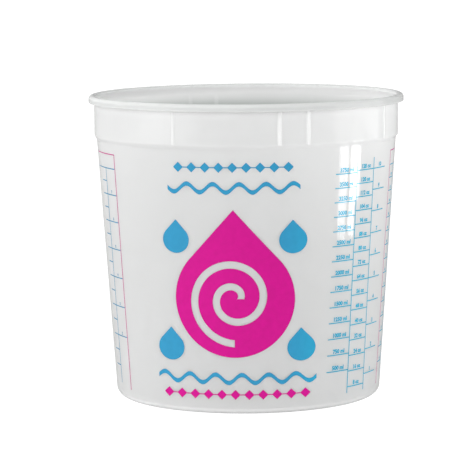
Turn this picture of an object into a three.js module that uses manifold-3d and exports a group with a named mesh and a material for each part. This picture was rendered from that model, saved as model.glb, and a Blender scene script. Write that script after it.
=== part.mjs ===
// A disposable mixing container: one moulded wall of milky polypropylene, printed in two inks.
// Millimetres, +Z up, with the origin in the middle of the standing face.
// A bearing is in degrees from the front of the container (-Y), positive towards +X.
// Artwork is drawn flat in x and z, facing the viewer at its bearing, and laid on the wall.

import * as THREE from 'three';
import { mergeVertices, toCreasedNormals } from 'three/addons/utils/BufferGeometryUtils.js';
import Module from 'manifold-3d';

const wasm = await Module();
wasm.setup();

// Sizes of the moulding
const HEIGHT = 196; // standing face to the crest of the lip
const COLLAR_RADIUS = 98.7; // outside of the straight collar
const COLLAR_HEIGHT = 26; // crest of the lip to the lower edge of the collar
const STEP_HEIGHT = 2.2; // slanted step under the collar
const STEP_DEPTH = 1.5; // how far the step draws the wall in
const TAPER = 3.89; // degrees, the wall under the step to the upright
const FOOT_CORNER = 5.6; // outside radius of the foot corner
const WALL = 1.2;
const FLOOR = 1.3;
const STANDING_RING_WIDTH = 3.5;
const PANEL_RISE = 1; // how far the underside is drawn up inside the standing ring
const GATE_RADIUS = 2.2; // stub left by the mould's feed, in the middle of the underside
const GATE_HEIGHT = 0.5;

// Turned-down lip
const LIP_REACH = 3.6; // collar to the outermost edge of the lip
const LIP_DROP = 4.8; // crest of the lip to its lower edge
const LIP_THICKNESS = 1.1; // skirt of the lip

// Upright ribs on the outside of the collar
const RIB_WIDTH = 2.7;
const RIB_PROUD = 0.6; // how far a rib stands out of the collar
const RIB_BEARING = 17.5; // the ribs are the same on both sides of this bearing
const RIB_SPREAD = 90; // single ribs, from one to the next
const RIB_PAIR_SPREAD = 10.9; // the two ribs of a pair

// Ink
const INK_GAP = 0.3; // wall to the back of a printed film
const INK_THICKNESS = 0.3;
const LINE = 0.6; // width of a printed line
const INK_CLEARANCE = 0.3; // blue ink to magenta ink beside it

// Volumes that the marks stand for
const MILLILITRE = 1000; // cubic millimetres
const FLUID_OUNCE = 29.5735 * MILLILITRE;
const OUNCE_STEP = 8; // fluid ounces from mark to mark
const MILLILITRE_STEP = 250;
const MILLILITRE_FIRST = 2; // steps up to the lowest mark
const TENTH_MARKS = 10;

// Volume scale, on the front right, in degrees of spread from its left upright
const SCALE_BEARING = 46.4; // left upright, between millilitres and fluid ounces
const SCALE_TOP = 9.3; // step to the upper ends of the uprights
const SCALE_TAIL = 4; // lowest mark to the lower ends of the uprights
const MILLILITRE_SPREAD = 12.25;
const OUNCE_SPREAD = 11.7;
const TENTH_SPREAD = 22.6;

// Chart round the back: a frame, and a ratio scale in each of its blocks
const CHART_START = 73; // bearing of its first upright
const CHART_END = 299.5; // bearing of its last upright
const CHART_BLOCKS = 5;
const CHART_TOP = 6.8; // step to the top line
const CHART_LOW = 3.5; // foot corner to the lower ends of the frame's uprights
const LEFT_COLUMN_SPREAD = 8;
const RIGHT_COLUMN_SPREAD = 10;
const SHORT_MARK_SPREAD = 16.2; // frame to the far ends of the marks beside the right column
const RATIO_TAIL = 11.5; // lowest mark to the lower ends of the column lines

// Front print: a row of beads and a wavy ribbon above and below the drops
const FRONT_BEARING = -5.3;
const UPPER_CHAIN_DEPTH = 11.2; // step to the middle of the row
const UPPER_CHAIN_SPREAD = 26;
const UPPER_CHAIN_BEADS = 9;
const UPPER_RIBBON_DEPTH = 24.1;
const UPPER_RIBBON_SPREAD = 28.9;
const UPPER_RIBBON_WAVES = 5;
const LOWER_RIBBON_RISE = 17.8; // foot corner to the middle of the row
const LOWER_RIBBON_SPREAD = 35.5;
const LOWER_RIBBON_WAVES = 6;
const LOWER_CHAIN_RISE = 7.6;
const LOWER_CHAIN_SPREAD = 32.6;
const LOWER_CHAIN_BEADS = 11;
const BEAD = 6.4; // from point to point
const RIBBON_THICKNESS = 2.8;
const RIBBON_WAVE = 2.6; // rise of the wave from its middle line

// Large drop between the ribbons, with a bare swirl in it, and four small drops round it
const DROP_MARGIN = 13.6; // middle of each ribbon to the large drop
const DROP_POINT = 1.5; // distance of the tip from the middle of the round, in radii
const SWIRL_TURNS = 1.75;
const SWIRL_START = 4; // radius at which the swirl starts
const SWIRL_BORDER = 8.9; // middle of the swirl's last stretch to the edge of the drop
const SWIRL_SHARE = 0.33; // bare share of the swirl's pitch
const SMALL_DROP_RADIUS = 8.5;
const SMALL_DROP_GAP = 6; // large drop to small drop
const SMALL_DROP_DIRECTIONS = {
  upper_left: 135,
  lower_left: 218,
  upper_right: 45,
  lower_right: -38,
};

// Colours
const MILKY = 0xe1e3e1;
const BLUE = 0x3fa0cc;
const MAGENTA = 0xd9008f;

// Fineness of the round stretches
const ROUND_SIDES = 60;
const FOOT_STEPS = 5;
const CREST_STEPS = 8;
const GROOVE_STEPS = 4;
const EDGE_STEPS = 4;
const RIB_STEPS = 5;
const SWIRL_STEPS_PER_TURN = 16;
const WAVE_STEPS = 6; // to a wave of a ribbon
const DROP_STEPS = 12;
const BAND_RAYS = 4;
const CREASE = 0.5; // radians, above which an edge is shaded sharp
const SAME_POINT = 0.0001; // corners closer than this are one corner
const LEVEL_ERROR = 0.0001; // of a level worked out from a volume

const radians = THREE.MathUtils.degToRad;

// Heights and radii that follow from the sizes
const lipRadius = COLLAR_RADIUS + LIP_REACH;
const collarFoot = HEIGHT - COLLAR_HEIGHT;
const stepFoot = collarFoot - STEP_HEIGHT;
const wallTopRadius = COLLAR_RADIUS - STEP_DEPTH;
const taper = radians(TAPER);
const collarInside = COLLAR_RADIUS - WALL;
const crestRadius = (lipRadius - collarInside) / 2;
const crestHeight = HEIGHT - crestRadius;
const skirtInside = lipRadius - LIP_THICKNESS;
const grooveRadius = (skirtInside - COLLAR_RADIUS) / 2;
const stepSlant = Math.atan2(STEP_DEPTH, STEP_HEIGHT);
const stepShift = WALL * Math.tan(stepSlant / 2);

function wallRadius(height) {
  return wallTopRadius - (stepFoot - height) * Math.tan(taper);
}

function insideRadius(height) {
  return wallRadius(height) - WALL / Math.cos(taper);
}

// Points of an arc, from one angle to another, in degrees from +X towards +Z
function arc(x, z, radius, from, to, steps) {
  return Array.from({ length: steps + 1 }, (_, i) => {
    const angle = radians(from + ((to - from) * i) / steps);
    return new THREE.Vector2(x + radius * Math.cos(angle), z + radius * Math.sin(angle));
  });
}

// The round between a level floor and the tapered wall
function footArc(level, radiusAt, round) {
  const touch = level + round * (1 - Math.sin(taper));
  const middle = radiusAt(touch) - round * Math.cos(taper);
  return arc(middle, level + round, round, -90, -TAPER, FOOT_STEPS);
}

const outerFoot = footArc(0, wallRadius, FOOT_CORNER);
const innerFoot = footArc(FLOOR, insideRadius, FOOT_CORNER - WALL);
const footTop = outerFoot.at(-1).y;
const ringInside = outerFoot[0].x - STANDING_RING_WIDTH;

// The inside of the container, from the middle of the floor up to the crest of the lip
const insideProfile = [
  new THREE.Vector2(0, PANEL_RISE + FLOOR),
  new THREE.Vector2(ringInside - PANEL_RISE, PANEL_RISE + FLOOR),
  new THREE.Vector2(ringInside, FLOOR),
  ...innerFoot,
  new THREE.Vector2(insideRadius(stepFoot + stepShift), stepFoot + stepShift),
  new THREE.Vector2(collarInside, collarFoot + stepShift),
  new THREE.Vector2(collarInside, crestHeight),
];

// The lip: up under its skirt, round its lower edge, and over the crest
function lipProfile() {
  const edgeRadius = LIP_THICKNESS / 2;
  const edgeHeight = HEIGHT - LIP_DROP + edgeRadius;
  const crest = arc(collarInside + crestRadius, crestHeight, crestRadius, 0, 180, CREST_STEPS);
  return [
    ...arc(COLLAR_RADIUS + grooveRadius, crestHeight, grooveRadius, 180, 0, GROOVE_STEPS),
    ...arc(skirtInside + edgeRadius, edgeHeight, edgeRadius, -180, 0, EDGE_STEPS),
    ...crest.slice(0, -1),
  ];
}

function solidOf(geometry) {
  const bare = geometry.clone();
  bare.deleteAttribute('normal');
  bare.deleteAttribute('uv');
  const merged = mergeVertices(bare, SAME_POINT);
  const mesh = new wasm.Mesh({
    numProp: 3,
    vertProperties: new Float32Array(merged.attributes.position.array),
    triVerts: new Uint32Array(merged.index.array),
  });
  mesh.merge();
  return new wasm.Manifold(mesh);
}

function geometryOf(solid) {
  const mesh = solid.getMesh();
  const geometry = new THREE.BufferGeometry();
  geometry.setAttribute('position', new THREE.BufferAttribute(mesh.vertProperties, 3));
  geometry.setIndex(new THREE.BufferAttribute(mesh.triVerts, 1));
  return toCreasedNormals(geometry, CREASE);
}

function unite(solids) {
  return solids.reduce((whole, solid) => whole.add(solid));
}

// A profile turned about the vertical axis, starting at the front
function turned(profile) {
  return solidOf(new THREE.LatheGeometry(profile, ROUND_SIDES).rotateX(Math.PI / 2));
}

// A half-round rib, rooted in the collar and running up into the lip
function collarRib(bearing) {
  const side = RIB_WIDTH / 2;
  const root = -WALL / 2;
  const section = new THREE.Shape();
  section.moveTo(side, root);
  section.lineTo(side, 0);
  section.absellipse(0, 0, side, RIB_PROUD, 0, Math.PI, false);
  section.lineTo(-side, root);
  const depth = crestHeight + grooveRadius - collarFoot;
  const options = { depth, bevelEnabled: false, curveSegments: RIB_STEPS };
  const rib = new THREE.ExtrudeGeometry(section, options);
  rib.translate(0, COLLAR_RADIUS, collarFoot);
  return solidOf(rib.rotateZ(radians(bearing) + Math.PI));
}

function ribBearings() {
  const singles = [-RIB_SPREAD / 2, RIB_SPREAD / 2];
  const pairs = [-RIB_PAIR_SPREAD / 2, RIB_PAIR_SPREAD / 2];
  const halfTurn = 180;
  return [...singles, ...pairs]
    .flatMap((offset) => [offset, offset + halfTurn])
    .map((offset) => RIB_BEARING + offset);
}

function container() {
  const profile = [
    new THREE.Vector2(0, PANEL_RISE - GATE_HEIGHT),
    new THREE.Vector2(GATE_RADIUS, PANEL_RISE - GATE_HEIGHT),
    new THREE.Vector2(GATE_RADIUS, PANEL_RISE),
    new THREE.Vector2(ringInside - PANEL_RISE, PANEL_RISE),
    new THREE.Vector2(ringInside, 0),
    ...outerFoot,
    new THREE.Vector2(wallTopRadius, stepFoot),
    new THREE.Vector2(COLLAR_RADIUS, collarFoot),
    ...lipProfile(),
    ...insideProfile.toReversed(),
  ];
  return unite([turned(profile), ...ribBearings().map(collarRib)]);
}

// Volume held below a height, as a stack of cone slices
function heldVolume(height) {
  let volume = 0;
  for (let i = 1; i < insideProfile.length; i += 1) {
    const low = insideProfile[i - 1];
    const high = insideProfile[i];
    const rise = Math.min(height, high.y) - low.y;
    const share = high.y === low.y ? 0 : rise / (high.y - low.y);
    const reached = low.x + (high.x - low.x) * share;
    volume += (Math.PI * rise * (low.x ** 2 + low.x * reached + reached ** 2)) / 3;
    if (height < high.y) break;
  }
  return volume;
}

// The height at which the container holds a volume
function levelOf(volume) {
  let low = FLOOR + PANEL_RISE;
  let high = HEIGHT;
  while (high - low > LEVEL_ERROR) {
    const middle = (low + high) / 2;
    if (heldVolume(middle) < volume) low = middle;
    else high = middle;
  }
  return (low + high) / 2;
}

// Levels of the marks of a scale, from so many steps of a volume up to the highest that fits
function levels(step, first, height) {
  const last = Math.floor(heldVolume(height) / step);
  return Array.from({ length: last - first + 1 }, (_, i) => levelOf((first + i) * step));
}

const scaleHigh = stepFoot - SCALE_TOP;
const ounceLevels = levels(OUNCE_STEP * FLUID_OUNCE, 1, scaleHigh);
const fullLevel = ounceLevels.at(-1);
const upperRibbonHeight = stepFoot - UPPER_RIBBON_DEPTH;
const lowerRibbonHeight = footTop + LOWER_RIBBON_RISE;

// The space that printed films fill, all round the tapered wall
function printableShell() {
  const corner = (height, thickness) =>
    new THREE.Vector2(wallRadius(height) + INK_GAP + thickness, height);
  return turned([
    corner(footTop, 0),
    corner(footTop, INK_THICKNESS),
    corner(stepFoot, INK_THICKNESS),
    corner(stepFoot, 0),
    corner(footTop, 0),
  ]);
}

const printable = printableShell();

// Width, in flat artwork, of a spread in degrees at the foot of the wall
function widthOf(spread) {
  return wallRadius(0) * Math.sin(radians(spread));
}

// Flat artwork pushed through the wall at a bearing
function artwork(shape, bearing) {
  const options = { depth: lipRadius, bevelEnabled: false, curveSegments: DROP_STEPS };
  const geometry = new THREE.ExtrudeGeometry(shape, options);
  geometry.rotateX(Math.PI / 2);
  return solidOf(geometry.rotateZ(radians(bearing)));
}

function rectangle(bearing, left, right, low, high) {
  const corners = [[left, low], [right, low], [right, high], [left, high]];
  return artwork(new THREE.Shape(corners.map(([x, z]) => new THREE.Vector2(x, z))), bearing);
}

function mark(bearing, left, right, height) {
  return rectangle(bearing, left, right, height - LINE / 2, height + LINE / 2);
}

function upright(bearing, x, low, high) {
  return rectangle(bearing, x - LINE / 2, x + LINE / 2, low, high);
}

// Artwork that follows the wall round from one bearing to another, between two heights
function band(start, end, low, high) {
  const far = HEIGHT + lipRadius;
  const rays = Array.from({ length: BAND_RAYS + 1 }, (_, i) => {
    const angle = radians(start + ((end - start) * i) / BAND_RAYS);
    return new THREE.Vector2(far * Math.sin(angle), -far * Math.cos(angle));
  });
  const wedge = new THREE.Shape([new THREE.Vector2(0, 0), ...rays]);
  const prism = new THREE.ExtrudeGeometry(wedge, { depth: high - low, bevelEnabled: false });
  return solidOf(prism.translate(0, 0, low));
}

function film(art) {
  return unite(art).intersect(printable);
}

// Millilitres to the left of the left upright, fluid ounces between the uprights,
// and tenths of the full scale to the right
function volumeScale() {
  const left = widthOf(MILLILITRE_SPREAD);
  const middle = widthOf(OUNCE_SPREAD);
  const right = widthOf(TENTH_SPREAD);
  const low = ounceLevels[0] - SCALE_TAIL;
  const tenth = heldVolume(fullLevel) / TENTH_MARKS;
  const tenthLevels = Array.from({ length: TENTH_MARKS }, (_, i) => levelOf((i + 1) * tenth));
  const millilitreLevels = levels(MILLILITRE_STEP * MILLILITRE, MILLILITRE_FIRST, fullLevel);
  return film([
    upright(SCALE_BEARING, 0, low, scaleHigh),
    upright(SCALE_BEARING, middle, low, scaleHigh),
    ...millilitreLevels.map((level) => mark(SCALE_BEARING, -left, 0, level)),
    ...ounceLevels.map((level) => mark(SCALE_BEARING, 0, middle, level)),
    ...tenthLevels.map((level) => mark(SCALE_BEARING, middle, right, level)),
  ]);
}

const blockSpan = (CHART_END - CHART_START) / CHART_BLOCKS;
const blockEdges = Array.from({ length: CHART_BLOCKS + 1 }, (_, i) => CHART_START + i * blockSpan);

function chartFrame() {
  const high = stepFoot - CHART_TOP;
  const uprights = blockEdges.map((bearing) => upright(bearing, 0, footTop + CHART_LOW, high));
  return film([band(CHART_START, CHART_END, high - LINE, high), ...uprights]);
}

// One block of the chart: a header line at the full level, and a column at each side.
// Every ounce mark is in the left column and beside the right one, and every other in the right.
function ratioScale(start, end) {
  const beside = LINE / 2 + INK_CLEARANCE;
  const turn = THREE.MathUtils.radToDeg(beside / wallRadius(fullLevel));
  const left = widthOf(LEFT_COLUMN_SPREAD);
  const right = widthOf(RIGHT_COLUMN_SPREAD);
  const far = widthOf(SHORT_MARK_SPREAD);
  const every = ounceLevels.slice(1, -1);
  const everyOther = ounceLevels.filter((_, i) => i % 2 === 1).slice(1, -1);
  const low = every[0] - RATIO_TAIL;
  return film([
    band(start + turn, end - turn, fullLevel - LINE / 2, fullLevel + LINE / 2),
    upright(start, left, low, fullLevel),
    upright(end, -right, low, fullLevel),
    ...every.map((level) => mark(start, beside, left, level)),
    ...every.map((level) => mark(end, -far, -right, level)),
    ...everyOther.map((level) => mark(end, -right, -beside, level)),
  ]);
}

// A drop with its tip up
function dropShape(x, z, radius) {
  const tip = radius * DROP_POINT;
  const lean = Math.acos(radius / tip);
  const right = Math.PI / 2 - lean;
  const left = Math.PI / 2 + lean;
  const shape = new THREE.Shape();
  shape.moveTo(x, z + tip);
  shape.lineTo(x + radius * Math.cos(right), z + radius * Math.sin(right));
  shape.absarc(x, z, radius, right, left - 2 * Math.PI, true);
  shape.lineTo(x, z + tip);
  return shape;
}

const dropLow = lowerRibbonHeight + DROP_MARGIN;
const dropHigh = upperRibbonHeight - DROP_MARGIN;
const dropRadius = (dropHigh - dropLow) / (1 + DROP_POINT);
const dropMiddle = dropLow + dropRadius;

// The bare swirl in the large drop
function swirlPath() {
  const pitch = (dropRadius - SWIRL_BORDER - SWIRL_START) / SWIRL_TURNS;
  const steps = Math.round(SWIRL_TURNS * SWIRL_STEPS_PER_TURN);
  const edge = (side) =>
    Array.from({ length: steps + 1 }, (_, i) => {
      const turn = (i / steps) * SWIRL_TURNS;
      const radius = SWIRL_START + pitch * (turn + (side * SWIRL_SHARE) / 2);
      const angle = turn * 2 * Math.PI;
      return new THREE.Vector2(radius * Math.cos(angle), dropMiddle + radius * Math.sin(angle));
    });
  return new THREE.Path([...edge(1), ...edge(-1).toReversed()]);
}

function largeDrop() {
  const shape = dropShape(0, dropMiddle, dropRadius);
  shape.holes.push(swirlPath());
  return film([artwork(shape, FRONT_BEARING)]);
}

function smallDrop(direction) {
  const distance = dropRadius + SMALL_DROP_GAP + SMALL_DROP_RADIUS;
  const x = distance * Math.cos(radians(direction));
  const z = dropMiddle + distance * Math.sin(radians(direction));
  return film([artwork(dropShape(x, z, SMALL_DROP_RADIUS), FRONT_BEARING)]);
}

function ribbon(height, spread, waves) {
  const length = 2 * widthOf(spread);
  const steps = waves * WAVE_STEPS;
  const edge = (side) =>
    Array.from({ length: steps + 1 }, (_, i) => {
      const along = i / steps - 0.5;
      const wave = RIBBON_WAVE * Math.sin(along * waves * 2 * Math.PI);
      return new THREE.Vector2(along * length, height + wave + (side * RIBBON_THICKNESS) / 2);
    });
  const shape = new THREE.Shape([...edge(-1), ...edge(1).toReversed()]);
  return film([artwork(shape, FRONT_BEARING)]);
}

// Diamond beads on a line
function chain(height, spread, beads) {
  const half = BEAD / 2;
  const last = widthOf(spread) - half;
  const art = [mark(FRONT_BEARING, -last, last, height)];
  for (let i = 0; i < beads; i += 1) {
    const x = last * ((2 * i) / (beads - 1) - 1);
    const corners = [[x, height - half], [x + half, height], [x, height + half], [x - half, height]];
    const diamond = new THREE.Shape(corners.map((corner) => new THREE.Vector2(...corner)));
    art.push(artwork(diamond, FRONT_BEARING));
  }
  return film(art);
}

const plastic = { color: MILKY, roughness: 0.28, metalness: 0 };
const blueInk = { color: BLUE, roughness: 0.45, metalness: 0 };
const magentaInk = { color: MAGENTA, roughness: 0.45, metalness: 0 };

const group = new THREE.Group();

function place(name, solid, finish) {
  const mesh = new THREE.Mesh(geometryOf(solid), new THREE.MeshStandardMaterial(finish));
  mesh.name = name;
  group.add(mesh);
}

place('container', container(), plastic);
place('volume_scale_print', volumeScale(), blueInk);
place('chart_frame_print', chartFrame(), magentaInk);
for (let i = 0; i < CHART_BLOCKS; i += 1) {
  place(`ratio_scale_print_${i + 1}`, ratioScale(blockEdges[i], blockEdges[i + 1]), blueInk);
}
place('large_drop_print', largeDrop(), magentaInk);
for (const [side, direction] of Object.entries(SMALL_DROP_DIRECTIONS)) {
  place(`small_drop_print_${side}`, smallDrop(direction), blueInk);
}

const upperChain = chain(stepFoot - UPPER_CHAIN_DEPTH, UPPER_CHAIN_SPREAD, UPPER_CHAIN_BEADS);
const upperRibbon = ribbon(upperRibbonHeight, UPPER_RIBBON_SPREAD, UPPER_RIBBON_WAVES);
const lowerRibbon = ribbon(lowerRibbonHeight, LOWER_RIBBON_SPREAD, LOWER_RIBBON_WAVES);
const lowerChain = chain(footTop + LOWER_CHAIN_RISE, LOWER_CHAIN_SPREAD, LOWER_CHAIN_BEADS);
place('upper_chain_print', upperChain, blueInk);
place('upper_ribbon_print', upperRibbon, blueInk);
place('lower_ribbon_print', lowerRibbon, blueInk);
place('lower_chain_print', lowerChain, magentaInk);

export default group;
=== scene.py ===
"""A disposable mixing container of milky polypropylene, printed with measuring scales in two inks.

The script is laid out as an add-on. It models the moulding as a turned profile with ribs,
lays thin films of ink on its wall, and sets up a plain stage. Lengths are in metres unless
a name says millimetres. A bearing is in degrees from the front (-Y), positive towards +X.
"""

import math

import bmesh
import bpy
from mathutils import Matrix, Vector


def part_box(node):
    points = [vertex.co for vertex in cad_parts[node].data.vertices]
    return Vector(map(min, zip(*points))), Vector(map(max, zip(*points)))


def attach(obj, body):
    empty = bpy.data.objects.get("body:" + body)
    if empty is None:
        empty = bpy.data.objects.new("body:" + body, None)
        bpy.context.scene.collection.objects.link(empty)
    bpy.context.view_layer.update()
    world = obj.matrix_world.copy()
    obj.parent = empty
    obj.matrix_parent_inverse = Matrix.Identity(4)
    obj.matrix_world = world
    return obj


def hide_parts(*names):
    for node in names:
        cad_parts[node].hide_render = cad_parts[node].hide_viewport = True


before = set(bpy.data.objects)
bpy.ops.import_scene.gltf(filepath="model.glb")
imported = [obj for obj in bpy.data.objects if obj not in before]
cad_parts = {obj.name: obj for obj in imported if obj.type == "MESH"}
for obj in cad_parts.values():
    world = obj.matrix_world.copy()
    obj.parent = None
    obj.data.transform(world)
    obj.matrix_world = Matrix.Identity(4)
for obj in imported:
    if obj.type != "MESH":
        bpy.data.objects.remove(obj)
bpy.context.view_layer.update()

bl_info = {
    "name": "Mixing container",
    "version": (1, 0, 0),
    "blender": (4, 5, 0),
    "location": "View3D > Sidebar > Mixing container",
    "description": "Models a printed plastic mixing container and its stage",
    "category": "Mesh",
}

MM = 0.001
BODY = "root"
cad_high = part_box("container")[1]

CONTAINER = "moulded_container"
PLASTIC = "milky_polypropylene"
BLUE = "printed_blue"
MAGENTA = "printed_magenta"
SLOTS = {BLUE: "blue_ink", MAGENTA: "magenta_ink"}
ROUND_STEPS = 256  # of the turned moulding
ARC_STEPS_PER_TURN = 48  # of the arcs in its profile
RIB_SIDES = 40
RIB_FOOT_SEGMENTS = 3
STEP_SEGMENTS = 4
LETTER_CURVE_STEPS = 3
FACING = 0.5  # a face looks along an axis when its normal has more than this of it
SHEET_STEP = 1.5  # degrees, of the ink sheets that follow the wall
WRAP_STEP = 3 * MM  # between the cuts that let flat artwork bend round the wall
RISE_STEP = 20 * MM
SMOOTH_ANGLE = math.radians(32)
UP = (0, 0, 1)
TO_VIEWER = (0, -1, 0)
NEAR = 0.005 * MM  # closer than this counts as touching
MERGE = 0.001 * MM


def length(name, description, millimetres):
    """A length in the sidebar, from its size in millimetres."""
    return bpy.props.FloatProperty(
        name=name, description=description, default=millimetres * MM, unit="LENGTH", precision=5
    )


def degrees(name, description, angle):
    """An angle in the sidebar, from its size in degrees."""
    return bpy.props.FloatProperty(
        name=name, description=description, default=math.radians(angle), subtype="ANGLE"
    )


def colour(name, description, red, green, blue):
    """A colour in the sidebar, in linear light."""
    return bpy.props.FloatVectorProperty(
        name=name, description=description, default=(red, green, blue), subtype="COLOR", size=3
    )


def strength(name, description, level):
    """A light level in the sidebar, where 1 is white."""
    return bpy.props.FloatProperty(name=name, description=description, default=level, min=0)


class ContainerSizes(bpy.types.PropertyGroup):
    """Sizes of the moulding."""

    height: length("Height", "Standing face to the crest of the lip", cad_high.z / MM)
    lip_radius: length("Lip radius", "Axis to the outermost edge of the lip", cad_high.x / MM)
    lip_drop: length("Lip drop", "Crest of the lip to its lower edge", 4.8)
    lip_thickness: length("Lip thickness", "Skirt of the lip", 1.1)
    collar_radius: length("Collar radius", "Outside of the straight collar", 98.7)
    collar_height: length("Collar height", "Crest of the lip to the foot of the collar", 26)
    step_height: length("Step height", "Slanted step under the collar", 2.2)
    step_depth: length("Step depth", "How far the step draws the wall in", 1.5)
    step_round: length("Step round", "Rounding of the step's corners", 0.7)
    taper: degrees("Taper", "Wall under the step to the upright", 3.89)
    foot_corner: length("Foot corner", "Outside radius of the foot corner", 5.6)
    wall: length("Wall", "Thickness of the wall", 1.2)
    floor: length("Floor", "Thickness of the floor", 1.3)
    ring_width: length("Standing ring", "Width of the ring that it stands on", 3.5)
    panel_rise: length("Panel rise", "How far the underside is drawn up in the ring", 1)
    gate_radius: length("Gate radius", "Stub left by the mould's feed", 2.2)
    gate_height: length("Gate height", "How far the stub stands down", 0.5)
    rib_width: length("Rib width", "Upright ribs on the collar", 2.7)
    rib_proud: length("Rib height", "How far a rib stands out of the collar", 0.6)
    rib_bearing: degrees("Rib bearing", "Middle of the front pair of ribs", 17.5)
    rib_spread: degrees("Rib spread", "Single ribs, from one to the next", 90)
    rib_pair_spread: degrees("Rib pair", "The two ribs of a pair", 10.9)


class PrintSizes(bpy.types.PropertyGroup):
    """Sizes of the printed scales and of the front print."""

    film: length("Film", "Thickness of the ink", 0.03)
    lift: length("Lift", "Wall to the back of the ink", 0.02)
    line: length("Line", "Width of a printed line", 0.6)
    clearance: length("Clearance", "Blue ink to magenta ink beside it", 0.3)
    letter: length("Letter height", "Numbers of the volume scale", 2.5)
    small_letter: length("Small letter height", "Numbers of the ratio scales", 1.7)
    letter_rise: length("Letter rise", "Line to the foot of the number on it", 1.1)
    scale_bearing: degrees("Scale bearing", "Left upright of the volume scale", 46.4)
    scale_top: length("Scale top", "Step to the upper ends of the uprights", 9.3)
    scale_tail: length("Scale tail", "Lowest mark to the ends of the uprights", 4)
    millilitre_spread: degrees("Millilitres", "Upright to the ends of the marks", 12.25)
    ounce_spread: degrees("Fluid ounces", "From upright to upright", 11.7)
    tenth_spread: degrees("Tenths", "Left upright to the ends of the marks", 22.6)
    chart_start: degrees("Chart start", "Bearing of the first upright", 73)
    chart_end: degrees("Chart end", "Bearing of the last upright", 299.5)
    chart_top: length("Chart top", "Step to the top line", 6.8)
    chart_low: length("Chart foot", "Foot corner to the ends of the uprights", 3.5)
    left_column: degrees("Left column", "Width of each block's left column", 8)
    right_column: degrees("Right column", "Width of each block's right column", 10)
    short_mark: degrees("Short marks", "Frame to the far ends of the short marks", 16.2)
    ratio_tail: length("Ratio tail", "Lowest mark to the ends of the columns", 11.5)
    front_bearing: degrees("Front bearing", "Middle of the front print", -5.3)
    upper_chain_depth: length("Upper beads", "Step to the middle of the row", 11.2)
    upper_chain_spread: degrees("Upper beads spread", "Half of the row", 26)
    upper_ribbon_depth: length("Upper ribbon", "Step to the middle of the row", 24.1)
    upper_ribbon_spread: degrees("Upper ribbon spread", "Half of the row", 28.9)
    lower_ribbon_rise: length("Lower ribbon", "Foot corner to the middle of the row", 17.8)
    lower_ribbon_spread: degrees("Lower ribbon spread", "Half of the row", 35.5)
    lower_chain_rise: length("Lower beads", "Foot corner to the middle of the row", 7.6)
    lower_chain_spread: degrees("Lower beads spread", "Half of the row", 32.6)
    bead: length("Bead", "A bead from point to point", 6.4)
    ribbon: length("Ribbon", "Thickness of the wavy ribbons", 2.8)
    wave: length("Wave", "Rise of the wave from its middle line", 2.6)
    drop_margin: length("Drop margin", "Middle of each ribbon to the large drop", 13.6)
    swirl_start: length("Swirl start", "Radius at which the swirl starts", 4)
    swirl_border: length("Swirl border", "Last stretch to the edge of the drop", 8.9)
    small_drop: length("Small drop", "Radius of the round of a small drop", 8.5)
    small_drop_gap: length("Small drop gap", "Large drop to small drop", 6)


class Finishes(bpy.types.PropertyGroup):
    """Colours of the plastic and of the inks."""

    plastic: colour("Plastic", "Milky polypropylene", 0.9, 0.905, 0.9)
    # Painted light: this whiter colour is laid over the shade by the lip and on the floor inside;
    # on the ribs it stands for thicker plastic, with a painted highlight on the pairs.
    thick_plastic: colour("Thick plastic", "The same where it is thick", 0.95, 0.955, 0.95)
    # Painted shade: the plastic is painted this darker colour deep inside, and half as much on the
    # lip.
    inner_plastic: colour("Inner plastic", "The same deep inside", 0.39, 0.42, 0.405)
    blue: colour("Blue ink", "Screen-printed blue", 0.03, 0.29, 0.51)
    # Painted light: the lit copy of each ink, here and two lines down, is the same ink painted
    # lighter for the right side.
    lit_blue: colour("Lit blue ink", "The same at the right, lit from inside", 0.01, 0.44, 0.66)
    magenta: colour("Magenta ink", "Screen-printed magenta", 0.6, 0, 0.25)
    lit_magenta: colour("Lit magenta ink", "The same at the right", 0.66, 0, 0.3)
    floor: colour("Floor", "Pale studio floor", 0.86, 0.86, 0.86)
    # Painted light on the floor off camera: its colour is lighter at the left, and what the plastic
    # reflects of it is an emission with a painted glow far to the left.
    floor_left: strength("Floor, left", "Shade of the floor off camera, left", 0.95)
    floor_right: strength("Floor, right", "Shade of the floor off camera, right", 0.6)
    mirror_left: strength("Mirrored floor, left", "Floor as the plastic mirrors it, left", 0.6)
    mirror_right: strength("Mirrored floor, right", "Floor as the plastic mirrors it, right", 0.45)
    mirror_glow: strength("Mirrored floor, glow", "Bright patch far to the left", 1.8)


UPPER_CHAIN_BEADS = 9
LOWER_CHAIN_BEADS = 11
UPPER_RIBBON_WAVES = 5
LOWER_RIBBON_WAVES = 6
WAVE_STEPS = 24  # to a wave of a ribbon
DROP_POINT = 1.5  # distance of a drop's tip from the middle of its round, in radii
DROP_SIDES = 160
SWIRL_TURNS = 1.75
SWIRL_SHARE = 0.33  # bare share of the swirl's pitch
SWIRL_STEPS_PER_TURN = 64
SMALL_DROP_DIRECTIONS = {
    "upper_left": 135,
    "lower_left": 218,
    "upper_right": 45,
    "lower_right": -38,
}
CHART_BLOCKS = 5
TENTH_MARKS = 10
OUNCE_STEP = 8  # fluid ounces from mark to mark
MILLILITRE_STEP = 250
MILLILITRE_FIRST = 2  # steps up to the lowest mark
VOLUME_SLICES = 400
CUBIC_METRES_PER_MILLILITRE = 1e-6
MILLILITRES_PER_OUNCE = 29.5735
CAPITAL_SHARE = 0.7  # height of a capital letter, as a share of the font's size
LETTER_BOLDNESS = 0.06  # what is added round a letter, as a share of its height
BLANK = 1 * MM  # thickness of flat artwork while a form is cut out of it
LEVEL_DIGITS = 7  # decimals by which two cuts through a sheet are told apart

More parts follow.
